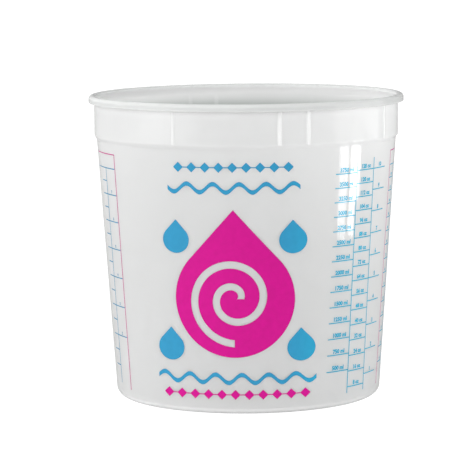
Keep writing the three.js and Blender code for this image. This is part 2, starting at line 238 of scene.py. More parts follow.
NOISE_MIDDLE = (0.3, 0.7)  # between these lie nearly all values of a noise
CLOUD = {"scale": 28, "detail": 4, "stretch": (1, 1, 0.35)}
FLOW_MARKS = {"scale": 90, "detail": 6, "stretch": (1, 1, 0.04)}
SKIN = {"scale": 900, "detail": 3}
COVERAGE = {"scale": 260, "detail": 5}
MESH_GRAIN = {"scale": 2600, "detail": 2}
CLOUD_BUMP = (0.5, 0.05 * MM)  # strength and depth, as in the other bumps
FLOW_BUMP = (0.3, 0.01 * MM)
SKIN_BUMP = (0.2, 0.002 * MM)
COVERAGE_BUMP = (0.3, 0.01 * MM)
GRAIN_BUMP = (0.3, 0.004 * MM)
PLASTIC_CLOUDING = 0.02  # how much darker the plastic is in places
PLASTIC_ROUGHNESS = (0.05, 0.08)
PLASTIC_IOR = 1.49
RIB_ROUGHNESS = 0.3  # what a rib adds
THIN_REACH = 10 * MM  # how far light travels in the wall
THICK_REACH = 4 * MM  # the same where the plastic is whitest
PAINTED_SHADE_OPAQUE = 0.7  # share of light that the plastic doesn't let in where its painted shade is darkest
PAIR_WHITE_AND_PAINTED_HIGHLIGHT = 0.65  # whiteness of the ribs in pairs, where 1 is that of the floor; partly a painted highlight
SINGLE_WHITE = 0.2
# painted light under the lip and inside below the crest, at its strongest
RIM_PAINTED_LIGHT = 0.9
INNER_RIB_SHOW = 0.25  # how much of a rib's whiteness shows inside
RIB_FADE = (0.4, 1.6)  # from the middle of a rib, in half widths of it
RIM_RISE = 7 * MM  # painted light under the lip, this far below the edge of the lip
INNER_RIM_RISE = (8 * MM, 4 * MM)  # below the crest, as the next two
INNER_RIM_FALL = (3 * MM, 1 * MM)
# Painted shade inside: it grows from 3 to 17 mm below the crest, and fades out from 110 mm down to
# 15 mm above the standing face.
PAINTED_SHADE_TOP = (17 * MM, 3 * MM)
PAINTED_SHADE_FOOT = (15 * MM, 110 * MM)  # above the standing face
FLOOR_FADE = (0.5 * MM, 2 * MM)  # above the floor of the container
# painted shade on the lip, as a share of that deep inside
LIP_PAINTED_SHADE = 0.5
LIP_FADE = 1 * MM
INK_CLOUDING = 0.08
INK_ROUGHNESS = (0.06, 0.1)
INK_IOR = 1.42
INK_PAINTED_LIGHT_FROM = (20 * MM, 72 * MM)  # painted light on the ink, along X, from not at all to fully

FLOOR = "studio_floor"
FLOOR_SIZE = 80
FLOOR_ROUGHNESS = 0.9
FLOOR_GRADE = (-0.5, 0.3)  # along X, from the floor's left painted shade and painted reflection to its right ones
# Painted glow, far to the left, in what the plastic reflects of the floor
GLOW_PLACE = (-2, -1, 0)
GLOW_REACH = (0.3, 1.5)
WHITE_STRENGTH = 1.2  # of the white that the camera sees
WHITE_SHARE = 0.8  # the rest is the lit floor, with its shadow
LAMPS = {  # place, width and height, and watts; all of them face left
    "front_strip": ((0.4, -0.127, 0.066), (0.06, 0.072), 0.078),
    "rear_strip": ((0.4, -0.0465, 0.087), (0.067, 0.04), 0.105),
    "rear_strip_foot": ((0.4, -0.061, 0.0525), (0.038, 0.029), 0.036),
    "right_lamp": ((0.8, -0.02, 0.26), (0.7, 0.4), 0.95),
}
SENSOR_WIDTH = 36  # millimetres
FARTHEST_VIEW = 200


class Shape:
    """Heights and radii that follow from the sizes of the moulding."""

    def __init__(self, sizes):
        self.sizes = sizes
        self.collar_foot = sizes.height - sizes.collar_height
        self.step_foot = self.collar_foot - sizes.step_height
        self.lip_edge = sizes.height - sizes.lip_drop
        self.wall_top = sizes.collar_radius - sizes.step_depth
        self.collar_inside = sizes.collar_radius - sizes.wall
        self.crest_radius = (sizes.lip_radius - self.collar_inside) / 2
        self.crest_height = sizes.height - self.crest_radius
        slant = math.atan2(sizes.step_depth, sizes.step_height)
        self.step_shift = sizes.wall * math.tan(slant / 2)
        self.outer_foot = self.foot_middle(0, self.wall_radius, sizes.foot_corner)
        self.inner_foot = self.foot_middle(
            sizes.floor, self.inside_radius, sizes.foot_corner - sizes.wall
        )
        self.foot_top = sizes.foot_corner * (1 - math.sin(sizes.taper))
        self.ring_inside = self.outer_foot.x - sizes.ring_width

    def wall_radius(self, height):
        return self.wall_top - (self.step_foot - height) * math.tan(self.sizes.taper)

    def inside_radius(self, height):
        return self.wall_radius(height) - self.sizes.wall / math.cos(self.sizes.taper)

    def foot_middle(self, level, radius_at, corner):
        """Middle of the round between a level floor and the tapered wall."""
        touch = level + corner * (1 - math.sin(self.sizes.taper))
        return Vector((radius_at(touch) - corner * math.cos(self.sizes.taper), level + corner))

    def hollow_radius(self, height):
        """Inside radius at a height, in the foot corner too."""
        corner = self.sizes.foot_corner - self.sizes.wall
        below = self.inner_foot.y - height
        if below < corner * math.sin(self.sizes.taper):
            return self.inside_radius(height)
        return self.inner_foot.x + math.sqrt(corner**2 - below**2)

    def held_volume(self, height):
        """Cubic metres held below a height on the tapered wall."""
        sizes = self.sizes
        panel_radius = self.ring_inside - sizes.panel_rise / 2
        volume = -math.pi * panel_radius**2 * sizes.panel_rise
        slice_height = (height - sizes.floor) / VOLUME_SLICES
        for i in range(VOLUME_SLICES):
            radius = self.hollow_radius(sizes.floor + (i + 0.5) * slice_height)
            volume += math.pi * radius**2 * slice_height
        return volume

    def level_of(self, volume):
        """The height at which the container holds a volume."""
        low, high = self.sizes.floor, self.step_foot
        while high - low > MERGE:
            middle = (low + high) / 2
            if self.held_volume(middle) < volume:
                low = middle
            else:
                high = middle
        return (low + high) / 2

    def width_of(self, spread):
        """Width, in flat artwork, of a spread at the foot of the wall."""
        return self.wall_radius(0) * math.sin(spread)


class Scales:
    """Levels of the marks, and what the numbers on them say."""

    def __init__(self, shape, prints):
        self.high = shape.step_foot - prints.scale_top
        ounce = MILLILITRES_PER_OUNCE * CUBIC_METRES_PER_MILLILITRE
        steps = int(shape.held_volume(self.high) / (OUNCE_STEP * ounce))
        counts = [OUNCE_STEP * (i + 1) for i in range(steps)]
        self.ounces = {count: shape.level_of(count * ounce) for count in counts}
        full = counts[-1] * ounce
        self.full_level = self.ounces[counts[-1]]
        last = int(full / CUBIC_METRES_PER_MILLILITRE / MILLILITRE_STEP)
        self.millilitres = {
            step * MILLILITRE_STEP: shape.level_of(
                step * MILLILITRE_STEP * CUBIC_METRES_PER_MILLILITRE
            )
            for step in range(MILLILITRE_FIRST, last + 1)
        }
        self.tenths = {
            tenth: shape.level_of(full * tenth / TENTH_MARKS)
            for tenth in range(1, TENTH_MARKS + 1)
        }


def direction(bearing):
    """Outward direction at a bearing given in radians."""
    return Vector((math.sin(bearing), -math.cos(bearing), 0))


def sideways(bearing):
    """Direction of the artwork's x at a bearing, to the viewer's right."""
    return Vector((math.cos(bearing), math.sin(bearing), 0))


def deselect_objects():
    bpy.ops.object.select_all(action="DESELECT")


def select_whole():
    """Selects all of the open mesh."""
    bpy.ops.mesh.select_all(action="SELECT")


def face_outwards():
    """Selects all of the open mesh and turns its faces outwards."""
    select_whole()
    bpy.ops.mesh.normals_make_consistent(inside=False)


def activate(piece):
    """Leaves one object selected and active, in object mode."""
    if bpy.context.object and bpy.context.object.mode != "OBJECT":
        bpy.ops.object.mode_set(mode="OBJECT")
    deselect_objects()
    piece.select_set(True)
    bpy.context.view_layer.objects.active = piece


def start_edit(piece, mode="VERT"):
    """Opens a mesh for editing with nothing selected."""
    activate(piece)
    bpy.ops.object.mode_set(mode="EDIT")
    bpy.ops.mesh.select_mode(type=mode)
    bpy.ops.mesh.select_all(action="DESELECT")


def end_edit():
    bpy.ops.object.mode_set(mode="OBJECT")


def select_faces(test):
    """Selects the faces of the open mesh whose middle and normal pass a test."""
    bpy.ops.mesh.select_mode(type="FACE")
    bpy.ops.mesh.select_all(action="DESELECT")
    mesh = bmesh.from_edit_mesh(bpy.context.edit_object.data)
    chosen = [face for face in mesh.faces if test(face.calc_center_median(), face.normal)]
    for face in chosen:
        face.select_set(True)
    bmesh.update_edit_mesh(bpy.context.edit_object.data)


def select_vertices(test):
    """Selects the corners of the open mesh whose place passes a test."""
    bpy.ops.mesh.select_mode(type="VERT")
    bpy.ops.mesh.select_all(action="DESELECT")
    mesh = bmesh.from_edit_mesh(bpy.context.edit_object.data)
    for vertex in mesh.verts:
        vertex.select_set(test(vertex.co))
    mesh.select_flush(True)
    bmesh.update_edit_mesh(bpy.context.edit_object.data)


def single_point(name, place):
    """A new mesh of one selected vertex, left open for editing."""
    deselect_objects()
    bpy.ops.mesh.primitive_plane_add(size=MM, location=(0, 0, 0))
    piece = bpy.context.object
    piece.name = name
    piece.data.name = name
    bpy.ops.object.mode_set(mode="EDIT")
    bpy.ops.mesh.select_mode(type="VERT")
    select_whole()
    bpy.ops.mesh.merge(type="CENTER")
    bpy.ops.transform.translate(value=place)
    return piece


def extrude(offset):
    bpy.ops.mesh.extrude_region_move(TRANSFORM_OT_translate={"value": offset})


def sweep(angle, steps, middle, axis):
    """Turns the selection round an axis, anticlockwise when the axis points at the viewer."""
    backwards = [-part for part in axis]
    bpy.ops.mesh.spin(steps=steps, angle=angle, center=middle, axis=backwards)


def draw_arc(middle, angle):
    """Draws on from the selected vertex round a point of the XZ plane."""
    steps = max(2, round(abs(angle) / (2 * math.pi) * ARC_STEPS_PER_TURN))
    sweep(angle, steps, (middle[0], 0, middle[1]), TO_VIEWER)


def cut(place, normal):
    """Cuts the whole open mesh along a plane."""
    select_whole()
    bpy.ops.mesh.bisect(plane_co=place, plane_no=normal, threshold=MERGE)


def apply_modifier(piece, kind, **settings):
    activate(piece)
    modifier = piece.modifiers.new(kind.title(), kind)
    for key, value in settings.items():
        setattr(modifier, key, value)
    bpy.ops.object.modifier_apply(modifier=modifier.name)


def finish_piece(piece, material, slot, *nodes):
    """Gives a modelled piece its finish and its place in the frame."""
    activate(piece)
    bpy.ops.object.shade_smooth_by_angle(angle=SMOOTH_ANGLE)
    piece.data.materials.clear()
    piece.data.materials.append(material)
    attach(piece, BODY)
    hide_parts(*nodes)


def finish_ink(piece, ink, node):
    """Gives a printed piece its ink and the place of its CAD film."""
    finish_piece(piece, finish_of(ink), SLOTS[ink], node)


def join(pieces, name):
    """Joins objects into the first and names it."""
    activate(pieces[0])
    for piece in pieces[1:]:
        piece.select_set(True)
    if len(pieces) > 1:
        bpy.ops.object.join()
    pieces[0].name = name
    pieces[0].data.name = name
    return pieces[0]


def turned_copy(piece, name, bearing):
    """A copy of a piece with its own mesh, turned round the axis."""
    activate(piece)
    bpy.ops.object.duplicate()
    copy = bpy.context.object
    copy.name = name
    copy.data.name = name
    turn_to(copy, bearing)
    return copy


def turn_to(piece, bearing):
    """Turns a piece made at the front to its bearing."""
    activate(piece)
    piece.rotation_euler.z = bearing
    bpy.ops.object.transform_apply(location=False, rotation=True, scale=False)


def new_material(name):
    """The node tree, principled shader and object coordinates of a new material."""
    material = bpy.data.materials.new(name)
    material.use_nodes = True
    tree = material.node_tree
    place = tree.nodes.new("ShaderNodeTexCoord").outputs["Object"]
    return tree, tree.nodes["Principled BSDF"], place


def finish_of(name):
    """A finish that has been made before, by its name."""
    return bpy.data.materials[name]


def feed(tree, socket, value):
    """Links a value to a socket, or sets the socket to it."""
    if isinstance(value, bpy.types.NodeSocket):
        tree.links.new(value, socket)
    else:
        socket.default_value = value


def node(tree, kind, inputs, **settings):
    """A shader node with its settings, and with links or plain values on its inputs."""
    made = tree.nodes.new(f"ShaderNode{kind}")
    for key, value in settings.items():
        setattr(made, key, value)
    for key, value in inputs.items():
        feed(tree, made.inputs[key], value)
    return made


def axes_of(tree, place):
    """The X, Y and Z of a place."""
    return node(tree, "SeparateXYZ", {"Vector": place}).outputs


def noise(tree, place, scale, detail, stretch=(1, 1, 1)):
    """Noise on object coordinates, with its stretch along each axis."""
    mapping = node(tree, "Mapping", {"Vector": place, "Scale": stretch})
    inputs = {"Vector": mapping.outputs["Vector"], "Scale": scale, "Detail": detail}
    return node(tree, "TexNoise", inputs).outputs["Fac"]


def graded(tree, value, places, levels, interpolation="SMOOTHSTEP"):
    """Goes from the first level to the second between two places."""
    inputs = {
        "Value": value,
        "From Min": places[0],
        "From Max": places[1],
        "To Min": levels[0],
        "To Max": levels[1],
    }
    return node(tree, "MapRange", inputs, interpolation_type=interpolation).outputs["Result"]


def spread(tree, value, low, high):
    """Maps a noise's middle range to a range of values."""
    return graded(tree, value, NOISE_MIDDLE, (low, high), "LINEAR")


def opaque(base, share=1):
    """A colour for a socket, darker where the share is below 1."""
    return (*[channel * share for channel in base], 1)


def blended(tree, share, start, end):
    """A colour that goes from one to another as a share grows."""
    inputs = {"Factor": share, "A": start, "B": end}
    return node(tree, "Mix", inputs, data_type="RGBA").outputs["Result"]


def clouded(tree, base, cloud, amount):
    """A colour that darkens by an amount where a noise is low."""
    return blended(tree, spread(tree, cloud, 0, 1), opaque(base, 1 - amount), opaque(base))


def bump(tree, shader, layers):
    """Chains bumps, each given as a height, a strength and a depth."""
    normal = {}
    for height, strength, depth in layers:
        inputs = {"Height": height, "Strength": strength, "Distance": depth, **normal}
        normal = {"Normal": node(tree, "Bump", inputs).outputs["Normal"]}
    tree.links.new(normal["Normal"], shader.inputs["Normal"])


def calculate(tree, operation, *values):
    """A maths node on links or plain numbers."""
    return node(tree, "Math", dict(enumerate(values)), operation=operation).outputs["Value"]


def product(tree, first, *others):
    """Several shares multiplied."""
    for other in others:
        first = calculate(tree, "MULTIPLY", first, other)
    return first


def line_through(tree, height, level, radius, slope):
    """The radius at each height of a line that passes through a point."""
    return calculate(tree, "MULTIPLY_ADD", height, slope, radius - slope * level)


def outer_face(tree, axes, shape):
    """1 on the outer face of the wall and 0 on its inner face."""
    sizes = shape.sizes
    slopes = [math.tan(sizes.taper), sizes.step_depth / sizes.step_height]
    corner = (shape.step_foot, shape.wall_top)
    lines = [line_through(tree, axes["Z"], *corner, slope) for slope in slopes]
    below_collar = calculate(tree, "MAXIMUM", *lines)
    surface = calculate(tree, "MINIMUM", below_collar, sizes.collar_radius)
    core = calculate(tree, "SUBTRACT", surface, sizes.wall / 2)
    y_squared = calculate(tree, "MULTIPLY", axes["Y"], axes["Y"])
    squared = calculate(tree, "MULTIPLY_ADD", axes["X"], axes["X"], y_squared)
    return calculate(tree, "GREATER_THAN", calculate(tree, "SQRT", squared), core)


def by_face(tree, outside, outer, inner):
    """One share on the outer face of the wall and another on its inner face."""
    inside = calculate(tree, "SUBTRACT", 1, outside)
    outer_part = calculate(tree, "MULTIPLY", outer, outside)
    return calculate(tree, "MULTIPLY_ADD", inner, inside, outer_part)


def rib_share(tree, axes, shape, outside):
    """Whiter, thicker plastic: 0 beside the ribs, most on the pairs, less on the single ribs and
    inside. What the pairs have over the single ribs is a painted highlight.
    """
    sizes = shape.sizes
    forward = calculate(tree, "MULTIPLY", axes["Y"], -1)
    bearing = calculate(tree, "ARCTAN2", axes["X"], forward)
    turned = calculate(tree, "SUBTRACT", bearing, sizes.rib_bearing)
    half_turn = calculate(tree, "WRAP", turned, math.pi / 2, -math.pi / 2)
    from_middle = calculate(tree, "ABSOLUTE", half_turn)
    half_width = sizes.rib_width / 2 / sizes.collar_radius
    fade = [half_widths * half_width for half_widths in RIB_FADE]
    kinds = [(sizes.rib_pair_spread, PAIR_WHITE_AND_PAINTED_HIGHLIGHT), (sizes.rib_spread, SINGLE_WHITE)]
    on_kinds = []
    for apart, white in kinds:
        beside = calculate(tree, "SUBTRACT", from_middle, apart / 2)
        on_kinds.append(graded(tree, calculate(tree, "ABSOLUTE", beside), fade, (white, 0)))
    on_rib = calculate(tree, "MAXIMUM", *on_kinds)
    above_step = calculate(tree, "GREATER_THAN", axes["Z"], shape.collar_foot)
    below_lip = calculate(tree, "LESS_THAN", axes["Z"], shape.lip_edge)
    shown = by_face(tree, outside, 1, INNER_RIB_SHOW)
    return product(tree, on_rib, above_step, below_lip, shown)


def heights_below(level, depths):
    """The two heights that lie at two depths below a level."""
    return level - depths[0], level - depths[1]


def rim_share(tree, axes, shape, outside):
    """Painted light over the shade under the lip and inside below the crest: it grows from 0 on
    the collar to nearly 1 close to the lip, and is 0 again on the lip.
    """
    crest = shape.sizes.height
    below_lip = calculate(tree, "LESS_THAN", axes["Z"], shape.lip_edge)
    rise = graded(tree, axes["Z"], (shape.lip_edge - RIM_RISE, shape.lip_edge), (0, RIM_PAINTED_LIGHT))
    inner_rise = graded(tree, axes["Z"], heights_below(crest, INNER_RIM_RISE), (0, RIM_PAINTED_LIGHT))
    below_crest = graded(tree, axes["Z"], heights_below(crest, INNER_RIM_FALL), (1, 0))
    under_lip = product(tree, rise, below_lip)
    return by_face(tree, outside, under_lip, product(tree, inner_rise, below_crest))


def floor_share(tree, axes, shape):
    """Painted light over the shade on the floor inside: 1 on the floor of the container and 0 above
    it.
    """
    level = shape.sizes.floor + shape.sizes.panel_rise
    return graded(tree, axes["Z"], (level + FLOOR_FADE[0], level + FLOOR_FADE[1]), (1, 0))


def grey_share(tree, axes, shape, outside):
    """Painted shade: 0 on the outer wall, some on the lip, and 1 deeper inside, fading out near the
    floor.
    """
    below_rim = graded(tree, axes["Z"], heights_below(shape.sizes.height, PAINTED_SHADE_TOP), (1, 0))
    above_floor = graded(tree, axes["Z"], PAINTED_SHADE_FOOT, (0, 1))
    lip_edge = (shape.lip_edge, shape.lip_edge + LIP_FADE)
    lip = graded(tree, axes["Z"], lip_edge, (0, LIP_PAINTED_SHADE))
    return by_face(tree, outside, lip, product(tree, below_rim, above_floor))


def milky_plastic(finishes, shape):
    """Natural polypropylene: soft light through the wall, faint flow marks, a smooth skin.

    On the ribs it is whiter, because more light comes back from thicker plastic, and the pairs
    of ribs carry a painted highlight. By the lip and on the floor it is painted whiter, as
    painted light over the shade there. Deep inside, and somewhat on the lip, it is painted darker,
    as painted shade, and passes less light.
    """
    tree, shader, place = new_material(PLASTIC)
    cloud = noise(tree, place, **CLOUD)
    flow = noise(tree, place, **FLOW_MARKS)
    skin = noise(tree, place, **SKIN)
    axes = axes_of(tree, place)
    outside = outer_face(tree, axes, shape)
    # Ribs: whiter where the plastic is thicker, with a painted highlight on the pairs.
    ribs = rib_share(tree, axes, shape, outside)
    ribs_and_painted_rim_light = calculate(tree, "MAXIMUM", ribs, rim_share(tree, axes, shape, outside))
    # Painted light: by the lip and on the floor inside, over the shade there; the ribs add theirs.
    thick_and_painted_light = calculate(tree, "MAXIMUM", ribs_and_painted_rim_light, floor_share(tree, axes, shape))
    # Painted shade: darker deep inside and on the lip, where it also lets less light through.
    painted_shade = grey_share(tree, axes, shape, outside)
    thin = clouded(tree, finishes.plastic, cloud, PLASTIC_CLOUDING)
    painted_shade_base = blended(tree, painted_shade, thin, opaque(finishes.inner_plastic))
    base = blended(tree, thick_and_painted_light, painted_shade_base, opaque(finishes.thick_plastic))
    smooth = spread(tree, cloud, *PLASTIC_ROUGHNESS)
    links = {
        "Base Color": base,
        "Roughness": calculate(tree, "MULTIPLY_ADD", ribs, RIB_ROUGHNESS, smooth),
        "Subsurface Weight": calculate(tree, "MULTIPLY_ADD", painted_shade, -PAINTED_SHADE_OPAQUE, 1),
        "Subsurface Scale": calculate(
            tree, "MULTIPLY_ADD", thick_and_painted_light, THICK_REACH - THIN_REACH, THIN_REACH
        ),
    }
    for name, link in links.items():
        tree.links.new(link, shader.inputs[name])
    shader.inputs["IOR"].default_value = PLASTIC_IOR
    shader.inputs["Subsurface Radius"].default_value = (1, 1, 1)
    bump(tree, shader, [(cloud, *CLOUD_BUMP), (flow, *FLOW_BUMP), (skin, *SKIN_BUMP)])


def printed_ink(name, base, lit):
    """Screen-printed ink: an even satin film with a trace of mesh grain.

    At the right it is painted lighter, as painted light: where less light falls on it, the
    light that comes through the wall shows more.
    """
    tree, shader, place = new_material(name)
    painted_light_share = graded(tree, axes_of(tree, place)["X"], INK_PAINTED_LIGHT_FROM, (0, 1))
    coverage = noise(tree, place, **COVERAGE)
    grain = noise(tree, place, **MESH_GRAIN)
    tint = clouded(tree, base, coverage, INK_CLOUDING)
    # Painted light: blended towards the lighter copy of the ink at the right.
    tree.links.new(blended(tree, painted_light_share, tint, opaque(lit)), shader.inputs["Base Color"])
    tree.links.new(spread(tree, coverage, *INK_ROUGHNESS), shader.inputs["Roughness"])
    shader.inputs["IOR"].default_value = INK_IOR
    bump(tree, shader, [(coverage, *COVERAGE_BUMP), (grain, *GRAIN_BUMP)])


class MIXING_OT_finishes(bpy.types.Operator):
    """Make the plastic and the two inks"""

    bl_idname = "mixing.finishes"
    bl_label = "Make finishes"

    def execute(self, context):
        finishes = context.scene.mixing_finishes
        milky_plastic(finishes, Shape(context.scene.mixing_sizes))
        printed_ink(BLUE, finishes.blue, finishes.lit_blue)
        printed_ink(MAGENTA, finishes.magenta, finishes.lit_magenta)
        return {"FINISHED"}


def draw_profile(shape):
    """Draws the section of the moulding, from the gate to the middle of the floor."""
    sizes = shape.sizes
    groove_radius = (sizes.lip_radius - sizes.lip_thickness - sizes.collar_radius) / 2
    edge_radius = sizes.lip_thickness / 2
    edge_height = shape.lip_edge + edge_radius
    skirt_inside = sizes.lip_radius - sizes.lip_thickness
    foot_angle = math.pi / 2 - sizes.taper
    pen = Vector((0, sizes.panel_rise - sizes.gate_height))
    piece = single_point(CONTAINER, (pen.x, 0, pen.y))

    def line_to(x, z):
        extrude((x - pen.x, 0, z - pen.y))
        pen.xy = x, z

    def arc_to(middle, angle, x, z):
        draw_arc(middle, angle)
        pen.xy = x, z

    line_to(sizes.gate_radius, pen.y)
    line_to(pen.x, sizes.panel_rise)
    line_to(shape.ring_inside - sizes.panel_rise, pen.y)
    line_to(shape.ring_inside, 0)
    line_to(shape.outer_foot.x, 0)
    arc_to(shape.outer_foot, foot_angle, shape.wall_radius(shape.foot_top), shape.foot_top)
    line_to(shape.wall_top, shape.step_foot)
    line_to(sizes.collar_radius, shape.collar_foot)
    line_to(pen.x, shape.crest_height)
    groove_middle = Vector((sizes.collar_radius + groove_radius, shape.crest_height))
    arc_to(groove_middle, -math.pi, skirt_inside, pen.y)
    line_to(pen.x, edge_height)
    arc_to((skirt_inside + edge_radius, edge_height), math.pi, sizes.lip_radius, pen.y)
    line_to(pen.x, shape.crest_height)
    crest_middle = (shape.collar_inside + shape.crest_radius, shape.crest_height)
    arc_to(crest_middle, math.pi, shape.collar_inside, pen.y)
    line_to(pen.x, shape.collar_foot + shape.step_shift)
    step_inside = shape.step_foot + shape.step_shift
    line_to(shape.inside_radius(step_inside), step_inside)
    corner = sizes.foot_corner - sizes.wall
    touch = sizes.floor + corner * (1 - math.sin(sizes.taper))
    line_to(shape.inside_radius(touch), touch)
    arc_to(shape.inner_foot, -foot_angle, shape.inner_foot.x, sizes.floor)
    line_to(shape.ring_inside, pen.y)
    line_to(shape.ring_inside - sizes.panel_rise, sizes.floor + sizes.panel_rise)
    line_to(0, pen.y)
    return piece


def round_step(shape):
    """Rounds the corners of the step, outside and inside."""
    sizes = shape.sizes
    step_inside = shape.step_foot + shape.step_shift
    corners = [
        (shape.wall_top, shape.step_foot),
        (sizes.collar_radius, shape.collar_foot),
        (shape.collar_inside, shape.collar_foot + shape.step_shift),
        (shape.inside_radius(step_inside), step_inside),
    ]
    select_vertices(
        lambda place: any(math.dist((place.x, place.z), corner) < NEAR for corner in corners)
    )
    bpy.ops.mesh.bevel(offset=sizes.step_round, segments=STEP_SEGMENTS, affect="VERTICES")


def rib_bearings(sizes):
    """Bearings of the single ribs and of the pairs, on both sides."""
    offsets = [-sizes.rib_spread / 2, sizes.rib_spread / 2]
    offsets += [-sizes.rib_pair_spread / 2, sizes.rib_pair_spread / 2]
    return [sizes.rib_bearing + offset + turn for offset in offsets for turn in (0, math.pi)]


def ribs(shape):
    """The bars that become the ribs: oval ones sunk in the collar, up into the lip."""
    sizes = shape.sizes
    top = sizes.height - sizes.lip_thickness / 2
    length = top - shape.collar_foot
    deselect_objects()
    bpy.ops.mesh.primitive_cylinder_add(
        vertices=RIB_SIDES,
        radius=1,
        depth=length,
        location=(0, -sizes.collar_radius, shape.collar_foot + length / 2),
        scale=(sizes.rib_width / 2, sizes.rib_proud, 1),
    )
    bar = bpy.context.object
    bpy.ops.object.transform_apply(location=True, rotation=True, scale=True)
    start_edit(bar, "FACE")
    select_faces(lambda _, normal: normal.z < -FACING)
    bpy.ops.mesh.bevel(offset=sizes.rib_proud / 3, segments=RIB_FOOT_SEGMENTS, affect="EDGES")
    end_edit()
    bars = [turned_copy(bar, "rib", bearing) for bearing in rib_bearings(sizes)]
    bpy.data.objects.remove(bar)
    return join(bars, "ribs")


class MIXING_OT_container(bpy.types.Operator):
    """Model the moulding: a turned profile with ribs joined to its collar"""

    bl_idname = "mixing.container"
    bl_label = "Model container"

    def execute(self, context):
        shape = Shape(context.scene.mixing_sizes)
        piece = draw_profile(shape)
        round_step(shape)
        select_whole()
        sweep(2 * math.pi, ROUND_STEPS, (0, 0, 0), UP)
        select_whole()
        bpy.ops.mesh.remove_doubles(threshold=MERGE)
        face_outwards()
        end_edit()
        bars = ribs(shape)
        apply_modifier(piece, "BOOLEAN", operation="UNION", object=bars, solver="EXACT")
        bpy.data.objects.remove(bars)
        finish_piece(piece, finish_of(PLASTIC), "moulding", "container")
        apply_modifier(piece, "WEIGHTED_NORMAL", keep_sharp=True)
        return {"FINISHED"}


def keep_lines(rectangles):
    """Cuts the open sheet along the edges of the lines and deletes what lies between them.

    A rectangle is a bearing, and the left, right, low and high edges of flat artwork there.
    """
    levels = {round(z, LEVEL_DIGITS) for rectangle in rectangles for z in rectangle[3:]}
    sides = {(r[0], round(x, LEVEL_DIGITS)) for r in rectangles for x in r[1:3]}
    for level in sorted(levels):
        cut((0, 0, level), (0, 0, 1))
    for bearing, x in sorted(sides):
        cut(sideways(bearing) * x, sideways(bearing))

    def bare(middle, _):
        for bearing, left, right, low, high in rectangles:
            across = left < middle.dot(sideways(bearing)) < right
            if across and low < middle.z < high and middle.dot(direction(bearing)) > 0:
                return False
        return True

    select_faces(bare)
    bpy.ops.mesh.delete(type="FACE")
    face_outwards()


def thicken(piece, prints):
    """Gives a sheet of ink its thickness, outwards."""
    apply_modifier(piece, "SOLIDIFY", thickness=prints.film, offset=1)


def printed_lines(name, shape, prints, bearings, heights, rectangles):
    """Lines of ink, kept from a sheet just off the wall, between bearings and heights."""
    start, end = bearings
    foot, head = (
        direction(start) * (shape.wall_radius(height) + prints.lift) + Vector((0, 0, height))
        for height in heights
    )
    piece = single_point(name, foot)
    extrude(head - foot)
    select_whole()
    steps = math.ceil(math.degrees(end - start) / SHEET_STEP)
    sweep(end - start, steps, (0, 0, 0), UP)
    keep_lines(rectangles)
    end_edit()
    thicken(piece, prints)
    return piece


def lay_on_wall(piece, prints):
    """Bends flat artwork in front of the container onto its wall, along Y."""
    start_edit(piece)
    select_whole()
    bpy.ops.mesh.quads_convert_to_tris()
    corners = [vertex.co for vertex in bmesh.from_edit_mesh(piece.data).verts]
    left, right = min(c.x for c in corners), max(c.x for c in corners)
    low, high = min(c.z for c in corners), max(c.z for c in corners)
    for i in range(math.ceil(left / WRAP_STEP), math.floor(right / WRAP_STEP) + 1):
        cut((i * WRAP_STEP, 0, 0), (1, 0, 0))
    for i in range(math.ceil(low / RISE_STEP), math.floor(high / RISE_STEP) + 1):
        cut((0, 0, i * RISE_STEP), (0, 0, 1))
    select_whole()
    bpy.ops.mesh.dissolve_degenerate(threshold=NEAR)
    end_edit()
    apply_modifier(
        piece,
        "SHRINKWRAP",
        target=bpy.data.objects[CONTAINER],
        wrap_method="PROJECT",
        wrap_mode="ABOVE_SURFACE",
        use_project_y=True,
        offset=prints.lift,
    )
    thicken(piece, prints)


def flat_place(sizes):
    """The y of flat artwork before it is laid on the wall."""
    return -2 * sizes.lip_radius


def number(text, height, x, z, sizes):
    """A number or unit as flat artwork, with the middle of its foot at a place."""
    deselect_objects()
    bpy.ops.object.text_add(location=(x, flat_place(sizes), z), rotation=(math.pi / 2, 0, 0))
    piece = bpy.context.object
    piece.data.body = text
    piece.data.align_x = "CENTER"
    piece.data.size = height / CAPITAL_SHARE
    piece.data.offset = LETTER_BOLDNESS * height
    piece.data.resolution_u = LETTER_CURVE_STEPS
    bpy.ops.object.convert(target="MESH")
    bpy.ops.object.transform_apply(location=True, rotation=True, scale=True)
    return piece


def numbers_on_wall(name, labels, height, sizes, prints):
    """Numbers laid on the front of the wall, from their texts and places."""
    pieces = [number(text, height, x, z + prints.letter_rise, sizes) for text, x, z in labels]
    piece = join(pieces, name)
    lay_on_wall(piece, prints)
    return piece


class MIXING_OT_volume_scale(bpy.types.Operator):
    """Print the scale of millilitres, fluid ounces and tenths"""

    bl_idname = "mixing.volume_scale"
    bl_label = "Print volume scale"

    def execute(self, context):
        prints = context.scene.mixing_prints
        shape = Shape(context.scene.mixing_sizes)
        scales = Scales(shape, prints)
        half = prints.line / 2
        left = shape.width_of(prints.millilitre_spread)
        middle = shape.width_of(prints.ounce_spread)
        right = shape.width_of(prints.tenth_spread)
        bearing = prints.scale_bearing
        low = scales.ounces[OUNCE_STEP] - prints.scale_tail
        rectangles = [(bearing, x - half, x + half, low, scales.high) for x in (0, middle)]
        columns = [
            (scales.millilitres, -left, 0, "{} ml"),
            (scales.ounces, 0, middle, "{} oz"),
            (scales.tenths, middle, right, "{}"),
        ]
        labels = []
        for levels, near, far, wording in columns:
            for count, level in levels.items():
                rectangles.append((bearing, near, far, level - half, level + half))
                labels.append((wording.format(count), (near + far) / 2, level))
        margin = math.radians(SHEET_STEP)
        start = bearing - prints.millilitre_spread - margin
        end = bearing + prints.tenth_spread + margin
        name = "volume_scale_ink"
        heights = (low, scales.high)
        piece = printed_lines(name, shape, prints, (start, end), heights, rectangles)
        numbers = numbers_on_wall("volume_numbers", labels, prints.letter, shape.sizes, prints)
        turn_to(numbers, bearing)
        finish_ink(join([piece, numbers], name), BLUE, "volume_scale_print")
        return {"FINISHED"}


